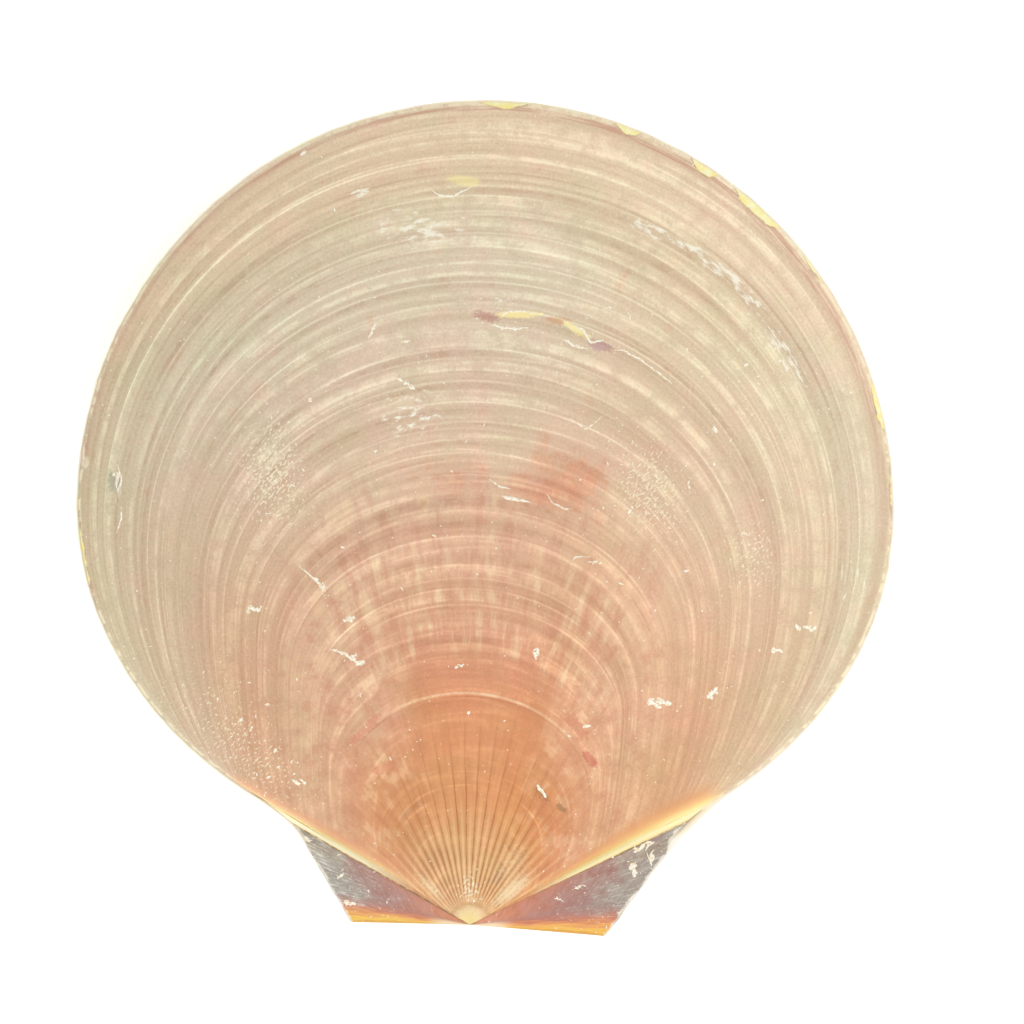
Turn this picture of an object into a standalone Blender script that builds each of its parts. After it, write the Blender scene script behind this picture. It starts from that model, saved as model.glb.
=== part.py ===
"""A closed pair of moon scallop valves, lying on the paler one.

Each valve is a fan of rays from the umbo, the beak at the middle of the hinge. Plan points are taken from the umbo:
x across the shell and y from the hinge to the far margin. Depths are taken from the seam plane, where the valves meet.
In the scene the origin is the centre of the flat spot that the shell rests on, with +Z up out of the brown valve and
+Y along y.
"""

import math
from collections import namedtuple

import bmesh
import bpy
from mathutils import Vector

MM = 0.001

# Outline of the disc: round at the far margin, and flatter down the shoulders towards the ears
DISC_CENTRE = (-0.35 * MM, 48.0 * MM)
DISC_HALF_WIDTH = 47.2 * MM
DISC_FAR_REACH = 47.05 * MM
SHOULDER_REACH = 40.7 * MM
SHOULDER_STEP = 3.8 * MM
MIDDLE_RAY = DISC_CENTRE[1] + DISC_FAR_REACH

# Depths, measured from the seam plane outwards
RIM_GAP = 0.15 * MM
RIM_WALL = 0.5 * MM
BODY_WALL = 0.9 * MM
EAR_GAP = 0.55 * MM
BEAK_RISE = 0.7 * MM
BEAK_RADIUS = 3.0 * MM

# How the dome is spread: along a ray, and from the long middle rays to the short side ones
CROWN_POWER = 0.97
SIDE_POWER = 1.7

# How late along a ray the disc comes down from the ears' level to the rim's, and its wall thins
RIM_POWER = 4.0

# Columns are rays, counted along the outline; rows are steps out from the umbo
HALF_DISC_COLUMNS = 22
EAR_COLUMNS = 4
ROWS = 21
WELD = 0.0001 * MM
SHARP_ANGLE = math.radians(50.0)

# The pale valve shows past the brown one at the ears and all round the rim, and its dome is planed off by flat_cut
Valve = namedtuple(
    "Valve",
    "name side dome flat_cut rim_inset left_tip left_junction right_junction right_bend right_tip colour roughness",
)
BROWN = Valve(
    name="upper_valve",
    side=1.0,
    dome=6.8 * MM,
    flat_cut=0.0,
    rim_inset=0.3 * MM,
    left_tip=Vector((-13.7, -0.3)) * MM,
    left_junction=Vector((-20.4, 10.2)) * MM,
    right_junction=Vector((23.3, 11.7)) * MM,
    right_bend=Vector((22.2, 9.1)) * MM,
    right_tip=Vector((15.6, -0.65)) * MM,
    colour=(0.70, 0.50, 0.36),
    roughness=0.45,
)
PALE = Valve(
    name="lower_valve",
    side=-1.0,
    dome=6.4 * MM,
    flat_cut=0.21 * MM,
    rim_inset=0.0,
    left_tip=Vector((-13.9, -0.3)) * MM,
    left_junction=Vector((-20.9, 10.5)) * MM,
    right_junction=Vector((24.9, 12.0)) * MM,
    right_bend=Vector((22.5, 9.1)) * MM,
    right_tip=Vector((15.9, -0.65)) * MM,
    colour=(0.90, 0.86, 0.74),
    roughness=0.4,
)

# The elastic strip between the two straight hinge edges
LIGAMENT_LENGTH = 26.6 * MM
LIGAMENT_WIDTH = 1.5 * MM
LIGAMENT_HEIGHT = 0.5 * MM
LIGAMENT_INSET = 0.15 * MM
LIGAMENT_ROUNDING = 0.12 * MM
LIGAMENT_COLOUR = (0.07, 0.04, 0.02)
LIGAMENT_ROUGHNESS = 0.6

# Plan point of the flat spot's centre, over which the shell balances
REST_SPOT = Vector((-0.3, 46.0)) * MM


def clear_scene():
    """Removes whatever the scene holds, so that only the shell is left."""
    for thing in list(bpy.data.objects):
        bpy.data.objects.remove(thing, do_unlink=True)


def make_material(name, colour, roughness):
    """A plain surface with the piece's own colour."""
    material = bpy.data.materials.new(name)
    material.use_nodes = True
    shader = material.node_tree.nodes["Principled BSDF"]
    shader.inputs["Base Color"].default_value = (*colour, 1.0)
    shader.inputs["Roughness"].default_value = roughness
    shader.inputs["Metallic"].default_value = 0.0
    return material


def disc_point(turn, inset):
    """Point on the disc's margin, turn radians round its centre from the far end, positive to the right."""
    reach = DISC_FAR_REACH if abs(turn) <= math.pi / 2 else SHOULDER_REACH
    x = DISC_CENTRE[0] + (DISC_HALF_WIDTH - inset) * math.sin(turn)
    y = DISC_CENTRE[1] + (reach - inset) * math.cos(turn)
    return Vector((x, y))


def turn_at(x):
    """Turn at which a shoulder, below the disc's widest place, passes the given x."""
    across = (x - DISC_CENTRE[0]) / DISC_HALF_WIDTH
    return math.copysign(math.pi - math.asin(abs(across)), across)


def stretch(start, end, steps):
    """Points from start towards end in equal steps, without end itself."""
    return [start.lerp(end, step / steps) for step in range(steps)]


def valve_outline(valve):
    """The margin from the left ear's tip over the far end to the right ear's tip, as (plan point, kind) pairs."""
    first_turn = turn_at(valve.left_junction.x - SHOULDER_STEP)
    last_turn = turn_at(valve.right_junction.x + SHOULDER_STEP)
    turns = [first_turn * (1.0 - step / HALF_DISC_COLUMNS) for step in range(HALF_DISC_COLUMNS)]
    turns += [last_turn * step / HALF_DISC_COLUMNS for step in range(HALF_DISC_COLUMNS + 1)]
    left_ear = stretch(valve.left_tip, valve.left_junction, EAR_COLUMNS)
    disc = [disc_point(turn, valve.rim_inset) for turn in turns]
    right_ear = stretch(valve.right_bend, valve.right_tip, EAR_COLUMNS - 1) + [valve.right_tip]
    outline = [(point, "ear") for point in left_ear]
    outline.append((valve.left_junction, "flank"))
    outline.extend((point, "disc") for point in disc)
    outline.append((valve.right_junction, "flank"))
    outline.extend((point, "ear") for point in right_ear)
    return outline


def inner_depth(valve, kind, ray, fraction):
    """Depth of the inner face at a fraction of the way out along a ray of the given length."""
    if kind == "ear":
        return EAR_GAP
    depth = EAR_GAP + (RIM_GAP - EAR_GAP) * fraction ** RIM_POWER
    if kind == "disc":
        grown = fraction ** CROWN_POWER
        depth += valve.dome * 4.0 * grown * (1.0 - grown) * (ray / MIDDLE_RAY) ** SIDE_POWER
    return depth


def wall_thickness(kind, ray, fraction):
    """Thickness of the wall: thick under the beak, and thinning towards the disc's rim."""
    beak = BEAK_RISE * math.exp(-((ray * fraction / BEAK_RADIUS) ** 2))
    if kind == "ear":
        return BODY_WALL + beak
    return BODY_WALL + (RIM_WALL - BODY_WALL) * fraction ** RIM_POWER + beak


def outer_limit(valve):
    """Greatest depth of the outer face, on the longest ray, less what is planed off for the flat spot."""
    rows = [row / ROWS for row in range(ROWS + 1)]
    depths = [inner_depth(valve, "disc", MIDDLE_RAY, f) + wall_thickness("disc", MIDDLE_RAY, f) for f in rows]
    return max(depths) - valve.flat_cut


def make_valve(valve, collection):
    """One valve with its two ears: a fan of rays from the umbo, domed, and extruded out by its wall."""
    outline = valve_outline(valve)
    columns = len(outline) - 1
    limit = outer_limit(valve)
    fan = bmesh.new()
    bmesh.ops.create_grid(fan, x_segments=columns, y_segments=ROWS, size=0.5)
    outer_depth = fan.verts.layers.float.new("outer_depth")
    for vert in fan.verts:
        point, kind = outline[round((vert.co.x + 0.5) * columns)]
        fraction = vert.co.y + 0.5
        depth = inner_depth(valve, kind, point.length, fraction)
        vert[outer_depth] = min(limit, depth + wall_thickness(kind, point.length, fraction))
        vert.co = Vector((point.x * fraction, point.y * fraction, valve.side * depth))
    bmesh.ops.remove_doubles(fan, verts=fan.verts, dist=WELD)
    wall = bmesh.ops.extrude_face_region(fan, geom=fan.faces[:], use_keep_orig=True)
    for vert in [item for item in wall["geom"] if isinstance(item, bmesh.types.BMVert)]:
        vert.co.z = valve.side * vert[outer_depth]
    bmesh.ops.recalc_face_normals(fan, faces=fan.faces)
    mesh = bpy.data.meshes.new(valve.name)
    fan.to_mesh(mesh)
    fan.free()
    mesh.shade_smooth()
    mesh.set_sharp_from_angle(angle=SHARP_ANGLE)
    mesh.materials.append(make_material(valve.name, valve.colour, valve.roughness))
    shell = bpy.data.objects.new(valve.name, mesh)
    collection.objects.link(shell)
    return shell


def make_ligament(collection):
    """The dark elastic strip that joins the two straight hinge edges."""
    bar = bmesh.new()
    bmesh.ops.create_cube(bar, size=1.0)
    bmesh.ops.scale(bar, vec=(LIGAMENT_LENGTH, LIGAMENT_WIDTH, LIGAMENT_HEIGHT), verts=bar.verts)
    mesh = bpy.data.meshes.new("hinge_ligament")
    bar.to_mesh(mesh)
    bar.free()
    mesh.materials.append(make_material("hinge_ligament", LIGAMENT_COLOUR, LIGAMENT_ROUGHNESS))
    strip = bpy.data.objects.new("hinge_ligament", mesh)
    collection.objects.link(strip)
    hinge = BROWN.right_tip - BROWN.left_tip
    middle = BROWN.left_tip.lerp(BROWN.right_tip, 0.5)
    strip.location = (middle.x, middle.y + LIGAMENT_INSET + LIGAMENT_WIDTH / 2.0, 0.0)
    strip.rotation_euler = (0.0, 0.0, math.atan2(hinge.y, hinge.x))
    rounding = strip.modifiers.new("rounding", "BEVEL")
    rounding.width = LIGAMENT_ROUNDING
    rounding.segments = 2
    return strip


def main():
    """Builds the pair and stands it with its flat spot on the ground at the origin."""
    clear_scene()
    collection = bpy.data.collections.new("moon_scallop_shell")
    bpy.context.scene.collection.children.link(collection)
    seam = bpy.data.objects.new("seam", None)
    seam.location = (-REST_SPOT.x, -REST_SPOT.y, outer_limit(PALE))
    collection.objects.link(seam)
    for piece in (make_valve(BROWN, collection), make_valve(PALE, collection), make_ligament(collection)):
        piece.parent = seam


main()
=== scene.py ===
"""The looks of a closed moon scallop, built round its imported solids.

Plan points are in millimetres from the umbo, the beak at the middle of the hinge: x across the shell, and y
from the hinge to the far margin. Depths are in millimetres from the seam plane, where the valves meet. A
stage says how far the shell had grown when a growth line was its margin, from 0 at the umbo to 1 at today's
margin.
"""

import math
from collections import namedtuple

import bmesh
import bpy
import numpy as np
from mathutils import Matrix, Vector
from mathutils.bvhtree import BVHTree

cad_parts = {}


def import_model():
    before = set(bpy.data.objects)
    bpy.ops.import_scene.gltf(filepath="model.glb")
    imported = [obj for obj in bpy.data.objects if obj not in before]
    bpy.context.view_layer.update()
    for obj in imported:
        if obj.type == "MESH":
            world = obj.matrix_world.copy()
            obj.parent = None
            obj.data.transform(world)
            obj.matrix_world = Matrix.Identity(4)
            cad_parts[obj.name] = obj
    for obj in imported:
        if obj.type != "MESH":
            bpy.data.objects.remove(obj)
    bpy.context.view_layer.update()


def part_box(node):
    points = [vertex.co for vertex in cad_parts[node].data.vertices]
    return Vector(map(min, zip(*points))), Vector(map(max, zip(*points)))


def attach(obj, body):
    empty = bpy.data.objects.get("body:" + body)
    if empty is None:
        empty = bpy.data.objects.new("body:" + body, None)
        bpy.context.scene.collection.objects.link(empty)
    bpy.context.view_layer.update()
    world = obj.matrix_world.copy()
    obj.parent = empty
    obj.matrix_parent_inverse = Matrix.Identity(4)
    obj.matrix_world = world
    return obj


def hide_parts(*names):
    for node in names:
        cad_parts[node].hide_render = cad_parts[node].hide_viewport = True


MM = 0.001

# Outline of the disc, as the solids have it
DISC_CENTRE = (-0.35, 48.0)
DISC_HALF_WIDTH = 47.2
DISC_FAR_REACH = 47.05
SHOULDER_REACH = 40.7
SHOULDER_STEP = 3.8
MIDDLE_RAY = 95.05

# Depths, as the solids have them; SKIN is how much lower the looks lie, so that their relief stays inside
RIM_GAP = 0.15
RIM_WALL = 0.5
BODY_WALL = 0.9
EAR_GAP = 0.55
BEAK_RISE = 0.7
BEAK_RADIUS = 3.0
CROWN_POWER = 0.97
SIDE_POWER = 1.7
RIM_POWER = 4.0
SKIN = 0.12

# The looks' rim is worn thin: how far in from the margin, and by how much at the margin itself
FEATHER_RUN = 0.7
FEATHER_DROP = 0.36

# The looks' inner face: how far it lies under the outer one and inside the margin, and how wide the two rims
# lie flat on each other. EAR_EASE is how much deeper it may lie on the ears
INNER_STEP = 0.49
INNER_INSET = 0.05
RIM_FLAT = 0.6
EAR_EASE = 2.2

# Along the hinge the inner faces come close to the seam: how close, and up to how far from the hinge line
HINGE_LIP = 0.28
HINGE_RUN = 0.8

# The umbo and the seam plane in the frame
UMBO = (0.3, -46.0)
SEAM = 7.59

# Growth lines are ellipses. Up to YOUNG_STAGE they have one shape, and from ADULT_STAGE they slowly fill out.
# Widths, centres and the young reach are parts of the grown length. LEAN moves half-grown ones to the left
GROWN_LENGTH = 95.0
YOUNG_STAGE = 0.28
ADULT_STAGE = 0.42
YOUNG_WIDTH = 0.535
ADULT_WIDTH = 0.497
WIDTH_SHIFT = 0.06
YOUNG_CENTRE = 0.57
ADULT_CENTRE = 0.505
CENTRE_SHIFT = 0.24
YOUNG_LOWER_REACH = 0.64
ADULT_LOWER_REACH = 41.0
LEAN = 4.6

# The flanks rise from the ears at these angles from the long axis, within this many degrees
LEFT_FLANK_FOOT = 63.0
RIGHT_FLANK_FOOT = 62.3
FLANK_RUN = 4.2

# The fine radial lines of the young shell: degrees between them, and how they curl near the beak
FAN_STEP = 4.65
FAN_OFFSET = 0.7
CURL_START = 6.4
CURL_RUN = 4.5
CURL_TURN = 1.3
CURL_SQUEEZE = 0.1

# Relief: ridges as spacing, height and seed, the named growth lines, the fan's grooves in parts of its step,
# the groove round the beak, the brown valve's gentle swell, and how much relief the pale valve has
RIDGES = ((2.6, 0.030, 11), (0.9, 0.014, 12))
RING_HEIGHT = 0.035
RING_SPREAD = 2.2
GROOVE_DEPTH = 0.04
GROOVE_HALF_WIDTH = 0.16
NECK_DEPTH = 0.10
NECK_RADIUS = 2.3
NECK_HALF_WIDTH = 0.4
SWELL_HEIGHT = 0.03
SWELL_SIZE = 9.0
PALE_RELIEF = 0.4

# Spacing of the painted growth lines: soft bands, pale threads and hair lines
BAND_STEP = 1.9
THREAD_STEP = 3.4
HAIR_STEP = 0.40

# Seeds of the random draws
EDGE_SEED = 3
BARE_SEED = 5
SWELL_SEED = 21
STRIP_SEED = 41
MARK_SEED = 51
SPECK_SEED = 77

Valve = namedtuple(
    "Valve",
    "node side dome rim_inset left_tip left_junction right_junction right_bend right_tip chips rows columns",
)
Chip = namedtuple("Chip", "x y half_length depth")
Margin = namedtuple("Margin", "turn ray edge slant dome drop ear bare")
Ring = namedtuple("Ring", "stage tone half_width")
Patch = namedtuple("Patch", "x y half_width half_height turn strength")
Mark = namedtuple("Mark", "x y length width turn")
Peel = namedtuple("Peel", "half_width points")
Blot = namedtuple("Blot", "x y length width turn colour strength")


def rows_of(kind, *rows):
    """A table of one kind of thing, from its rows of values."""
    return [kind(*row) for row in rows]


# Chips broken out of the brown valve's edge
CHIPS = rows_of(
    Chip,
    (8.0, 93.8, 1.5, 0.45), (-47.2, 51.4, 1.0, 0.60), (18.5, 4.1, 0.6, 0.5), (17.5, 2.3, 0.5, 0.4),
    (21.5, 8.8, 0.5, 0.4),
)

# Places along its edge where its brown layer has come off the yellow one
BARE_PLACES = rows_of(
    Chip,
    (-0.1, 94.7, 3.2, 0.50), (14.2, 92.2, 1.7, 0.75), (23.2, 88.3, 1.9, 0.95), (29.4, 83.8, 3.9, 0.95),
    (36.5, 77.3, 2.2, 0.30), (44.5, 61.8, 3.4, 0.45), (46.4, 52.0, 3.0, 0.22), (-46.4, 42.0, 4.0, 0.22),
    (-45.5, 38.0, 3.0, 0.20),
)
NOT_BARE = -0.3

BROWN = Valve(
    node="upper_valve",
    side=1.0,
    dome=6.8,
    rim_inset=0.3,
    left_tip=(-13.7, -0.3),
    left_junction=(-20.4, 10.2),
    right_junction=(23.3, 11.7),
    right_bend=(22.2, 9.1),
    right_tip=(15.6, -0.65),
    chips=CHIPS,
    rows=280,
    columns=250,
)
PALE = Valve(
    node="lower_valve",
    side=-1.0,
    dome=6.4,
    rim_inset=0.0,
    left_tip=(-13.9, -0.3),
    left_junction=(-20.9, 10.5),
    right_junction=(24.9, 12.0),
    right_bend=(22.5, 9.1),
    right_tip=(15.9, -0.65),
    chips=(),
    rows=190,
    columns=220,
)
WALL_COLUMNS = 8
EAR_COLUMNS = 24
BEND_COLUMNS = 6
INNER_ROWS = 14
EDGE_CREEP = 0.06
SHARP_ANGLE = math.radians(40.0)

# Pale growth lines, and darker ones where the tone is negative
RINGS = rows_of(
    Ring,
    (0.1705, 0.45, 0.17), (0.187, 0.35, 0.14), (0.2776, -0.90, 0.16), (0.292, 0.25, 0.14),
    (0.326, 0.35, 0.17),
    (0.388, 0.8, 0.20), (0.398, 0.3, 0.12), (0.407, 0.75, 0.20), (0.420, 0.35, 0.14), (0.436, 0.35, 0.17),
    (0.4695, 0.4, 0.19), (0.487, -0.4, 0.33), (0.505, 0.5, 0.19), (0.544, 0.4, 0.19), (0.5705, 0.45, 0.17),
    (0.586, 0.35, 0.14), (0.600, 0.4, 0.17), (0.6316, 0.45, 0.19), (0.657, 0.6, 0.19), (0.668, -0.35, 0.25),
    (0.696, 0.55, 0.19), (0.735, -0.35, 0.28), (0.746, 0.6, 0.19), (0.777, 0.45, 0.19), (0.800, 0.5, 0.19),
    (0.820, 0.4, 0.15), (0.836, 0.4, 0.15), (0.863, 0.55, 0.19), (0.882, 0.5, 0.19), (0.900, -0.35, 0.28),
    (0.910, -0.45, 0.25), (0.928, 0.55, 0.19), (0.946, -0.25, 0.22), (0.964, 0.35, 0.17),
)
RING_RAMPS = 5
YOUNG_RING = 0.2816

# Soft patches, in plan: red where the older shell shows through, up to BLUSH_EDGE on the right
BLUSHES = rows_of(
    Patch,
    (8.6, 51.4, 6.2, 4.0, 0.0, 1.0), (-3.6, 51.6, 3.8, 2.6, 0.0, 0.6), (13.6, 36.0, 1.2, 2.8, -0.35, 0.7),
    (2.0, 45.0, 9.0, 5.0, 0.0, 0.3), (13.9, 20.4, 1.6, 2.4, 0.6, 0.5), (-12.0, 22.5, 2.4, 1.6, 0.7, 0.8),
    (11.5, 9.5, 3.2, 3.4, 0.0, 0.6),
)
BLUSH_EDGE = 14.4

# White where the surface is worn
WORN = rows_of(
    Patch,
    (-9.0, 79.5, 7.0, 2.2, -0.1, 1.0), (-16.4, 83.4, 1.8, 0.6, 0.2, 1.0), (17.5, 80.6, 3.4, 0.8, -0.35, 1.3),
    (24.0, 77.4, 3.6, 0.8, -0.55, 1.3), (33.3, 67.0, 1.2, 4.6, 0.6, 1.1), (41.9, 41.3, 2.8, 4.0, 0.1, 0.6),
    (-9.4, 58.4, 4.5, 3.4, 0.0, 0.85), (28.5, 73.8, 2.6, 0.8, -0.75, 1.3), (-0.5, 71.8, 4.0, 1.0, 0.0, 0.7),
    (-24.8, 51.0, 4.0, 7.0, 0.1, 0.45), (18.5, 50.9, 3.6, 6.0, 0.2, 0.5), (-42.6, 48.6, 0.8, 2.2, 0.0, 1.0),
)

# Strewn with pale specks
GRAINY = rows_of(
    Patch,
    (-24.8, 51.0, 4.2, 7.0, 0.1, 1.0), (18.5, 50.9, 4.2, 6.2, 0.2, 0.9), (30.6, 43.9, 3.2, 4.5, 0.2, 0.8),
    (-30.0, 22.0, 8.0, 5.0, -0.8, 0.45), (-24.0, 17.0, 7.0, 4.0, -0.8, 0.45), (-0.2, 4.2, 1.2, 1.8, 0.0, 1.2),
    (4.0, 67.0, 14.0, 5.0, 0.0, 0.3), (32.5, 63.5, 7.0, 7.0, 0.0, 0.4),
)

# Rubbed down to cream, near the beak
CREAMY = rows_of(
    Patch,
    (4.4, 3.9, 3.2, 0.9, 0.70, 0.9), (-4.6, 4.1, 2.8, 0.8, -0.72, 0.8), (4.6, 7.5, 2.4, 3.6, -0.5, 0.55),
    (-0.1, 1.1, 1.6, 1.2, 0.0, 1.2),
)

# Broken places where a layer of another colour shows, and one painted shadow
STAINS_AND_SHADOW = rows_of(
    Blot,
    (-4.3, 85.4, 3.8, 1.2, -0.1, (250, 234, 172), 0.85), (-1.0, 69.8, 3.0, 1.3, -0.2, (202, 152, 138), 0.70),
    (2.5, 70.2, 5.2, 0.8, 0.05, (252, 234, 166), 0.95), (6.9, 69.7, 3.0, 0.8, -0.1, (212, 158, 112), 0.60),
    (9.4, 68.6, 3.2, 0.8, -0.5, (252, 238, 176), 0.95), (12.2, 67.0, 2.9, 1.2, -0.2, (200, 162, 160), 0.75),
    (-43.0, 49.0, 1.5, 2.2, 0.0, (168, 164, 146), 0.60), (3.1, 5.9, 2.6, 1.6, 1.1, (184, 152, 128), 0.40),
    # The row at (7.5, 15.7) is a painted shadow, cast by the lifted edge from (6.9, 16.6) to (8.2, 15.1)
    (9.9, 14.0, 1.6, 0.8, -0.7, (160, 124, 88), 0.70), (7.5, 15.7, 2.7, 1.0, -0.86, (172, 118, 74), 0.55),
    (-46.6, 51.4, 1.0, 1.5, 0.0, (250, 236, 206), 0.80), (12.9, 19.8, 2.6, 1.1, -0.9, (206, 122, 98), 0.75),
    (-12.7, 22.2, 4.4, 1.3, 0.8, (214, 140, 112), 0.60), (-10.4, 17.6, 3.4, 1.8, 0.3, (210, 138, 104), 0.50),
    (11.2, 23.6, 4.2, 1.5, -0.9, (212, 128, 100), 0.45),
)

# Lifted white edges of broken layers: half width, and points along the edge
PEELS = rows_of(
    Peel,
    (0.14, ((-8.7, 84.6), (-7.3, 83.6), (-5.7, 83.5), (-3.9, 84.5), (-3.0, 85.0))),
    (0.22, ((-0.8, 69.0), (0.5, 68.7), (2.2, 68.6), (3.8, 68.8))),
    (0.16, ((0.2, 69.4), (1.2, 70.5), (3.2, 70.6), (4.6, 70.3))),
    (0.20, ((7.7, 67.6), (9.0, 66.9), (10.7, 66.7))),
    (0.18, ((8.6, 69.4), (10.0, 68.8), (10.9, 67.4), (12.6, 67.8))),
    (0.14, ((13.0, 66.5), (14.6, 66.7), (16.7, 65.7), (20.8, 62.9))),
    (0.26, ((1.3, 49.4), (3.0, 49.1), (4.9, 48.8))),
    (0.12, ((9.5, 41.7), (10.2, 42.8), (12.0, 43.0))),
    (0.10, ((8.9, 58.7), (10.8, 57.4), (13.0, 59.4))),
    (0.12, ((-0.2, 51.4), (1.3, 50.4), (2.6, 50.3))),
    (0.12, ((6.5, 50.1), (7.3, 48.9), (8.8, 48.2), (9.6, 48.4))),
    (0.14, ((-42.8, 51.2), (-42.2, 49.3), (-42.7, 47.9))),
    (0.12, ((-42.2, 46.4), (-42.0, 45.0), (-42.6, 43.0))),
    (0.24, ((6.9, 16.6), (8.2, 15.1))),
    (0.20, ((-17.5, 31.1), (-15.8, 30.7), (-14.9, 30.0), (-13.7, 29.6))),
    (0.14, ((-21.4, 40.5), (-19.2, 38.8), (-18.0, 37.5))),
    (0.12, ((-17.7, 83.2), (-16.4, 83.8), (-15.1, 83.7))),
)
PEEL_STEP = 0.30
PEEL_HEIGHT = 0.05

# Crusts large enough to pick out
MARKS = rows_of(
    Mark,
    (20.6, 26.6, 2.6, 1.1, 0.0), (26.6, 28.0, 1.3, 1.0, 0.0), (37.2, 35.8, 2.4, 0.7, 0.0),
    (33.8, 33.1, 1.1, 0.8, 0.0), (-19.0, 38.6, 1.8, 0.5, -0.8), (-15.3, 34.6, 1.5, 0.9, 0.2),
    (-14.3, 30.0, 1.6, 1.0, -0.55), (-26.2, 35.2, 1.7, 0.9, 0.3), (-20.2, 15.6, 1.2, 0.8, 0.0),
    (-2.4, 29.8, 1.0, 0.4, 0.5), (6.2, 31.8, 0.6, 1.5, 0.0), (-42.9, 49.9, 0.7, 1.0, 0.0),
    (12.4, 42.4, 1.6, 0.5, 0.0), (-14.2, 67.6, 1.4, 0.5, 1.2), (-10.2, 66.6, 1.0, 0.4, 0.0),
    (-10.0, 61.8, 2.0, 0.6, -0.5), (19.4, 9.7, 2.6, 0.7, 0.45), (18.5, 7.3, 0.7, 1.6, 0.3),
    (20.5, 8.7, 0.6, 2.0, -0.4), (10.1, 3.4, 0.9, 0.35, -0.2), (12.5, 4.9, 1.0, 0.4, 0.4),
    (-19.1, 8.7, 0.5, 1.8, 0.5), (-15.2, 4.9, 1.0, 0.4, 0.5), (-13.6, 1.9, 1.6, 0.8, 0.0),
)
MARK_HEIGHT = 0.06

# Small crumbs: how many places are tried, how likely one is on bare ground, in the grain and on the ears, the
# middle size, and their height. How deep a flake's edge is let in, and its corners
SPECK_TRIES = 9000
SPECK_CHANCE = 0.05
GRAIN_CHANCE = 0.6
EAR_CHANCE = 0.4
SPECK_SIZE = 0.08
SPECK_HEIGHT = 0.02
LET_IN = -0.02
CORNERS = 8

# Studio: lights as name, place, size and power, and the camera's place over the umbo's side of the frame
LIGHTS = (
    ("soft_right", (0.5, 0.1, 0.8), 0.6, 3.6),
    ("soft_front", (-0.1, -0.8, 0.5), 0.7, 2.0),
    ("soft_left", (-0.7, -0.4, 0.35), 0.5, 1.0),
)
SKY_STRENGTH = 0.53
FLOOR_SIZE = 4.0
FLOOR_GLOW = 0.42
CAMERA_PLACE = (3.065 * MM, 1.63 * MM, 0.8 + SEAM * MM)
CAMERA_TURN = math.radians(2.5)
CAMERA_SENSOR = 36.0
CAMERA_LENS = 244.1


def paint(red, green, blue):
    """Linear colour of a shade named by its 0 to 255 values."""
    shades = [value / 255.0 for value in (red, green, blue)]
    linear = [shade / 12.92 if shade <= 0.04045 else ((shade + 0.055) / 1.055) ** 2.4 for shade in shades]
    return (*linear, 1.0)


def add_object(name, data):
    """Puts a new object with the given data in the scene."""
    thing = bpy.data.objects.new(name, data)
    bpy.context.scene.collection.objects.link(thing)
    return thing


# Numbers over the plan

def smooth(value, low, high):
    """0 below low, 1 above high, and an eased rise between them."""
    part = np.clip((value - low) / (high - low), 0.0, 1.0)
    return part * part * (3.0 - 2.0 * part)


def waves(place, seed):
    """Soft random numbers from -1 to 1 along a line, a new one at every whole place."""
    knots = np.random.default_rng(seed).uniform(-1.0, 1.0, 1024)
    cell = np.floor(place).astype(int)
    part = smooth(place - cell, 0.0, 1.0)
    return knots[cell % 1024] * (1.0 - part) + knots[(cell + 1) % 1024] * part


def swell(x, y, seed):
    """Soft random numbers from -1 to 1 over a plane, a new one at every whole point."""
    knots = np.random.default_rng(seed).uniform(-1.0, 1.0, (64, 64))
    column, row = np.floor(x).astype(int), np.floor(y).astype(int)
    across, along = smooth(x - column, 0.0, 1.0), smooth(y - row, 0.0, 1.0)
    sides = []
    for step in (0, 1):
        left, right = knots[column % 64, (row + step) % 64], knots[(column + 1) % 64, (row + step) % 64]
        sides.append(left * (1.0 - across) + right * across)
    return sides[0] * (1.0 - along) + sides[1] * along


def patches(x, y, spots):
    """How far each plan point lies inside the given soft ellipses."""
    total = np.zeros_like(x)
    for spot in spots:
        across = (x - spot.x) * math.cos(spot.turn) + (y - spot.y) * math.sin(spot.turn)
        along = (y - spot.y) * math.cos(spot.turn) - (x - spot.x) * math.sin(spot.turn)
        total += spot.strength * np.exp(-((across / spot.half_width) ** 2 + (along / spot.half_height) ** 2))
    return np.clip(total, 0.0, 1.0)


def flank_foot(turn):
    """Degrees from the long axis at which the flank on this side rises."""
    return np.where(np.asarray(turn) < 0.0, LEFT_FLANK_FOOT, RIGHT_FLANK_FOOT)


# The margin of a valve and the growth lines inside it

def turn_at(x):
    """Turn round the disc's centre at which a shoulder passes the given x."""
    across = (x - DISC_CENTRE[0]) / DISC_HALF_WIDTH
    return math.copysign(math.pi - math.asin(abs(across)), across)


def disc_points(turns, inset):
    """Points on the disc's margin, at turns from the far end."""
    reach = np.where(np.abs(turns) <= math.pi / 2, DISC_FAR_REACH, SHOULDER_REACH)
    x = DISC_CENTRE[0] + (DISC_HALF_WIDTH - inset) * np.sin(turns)
    y = DISC_CENTRE[1] + (reach - inset) * np.cos(turns)
    return np.stack((x, y), axis=1)


def stretch(start, end, count):
    """Points from start towards end, without end itself."""
    parts = np.arange(count)[:, None] / count
    return np.asarray(start) * (1.0 - parts) + np.asarray(end) * parts


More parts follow.
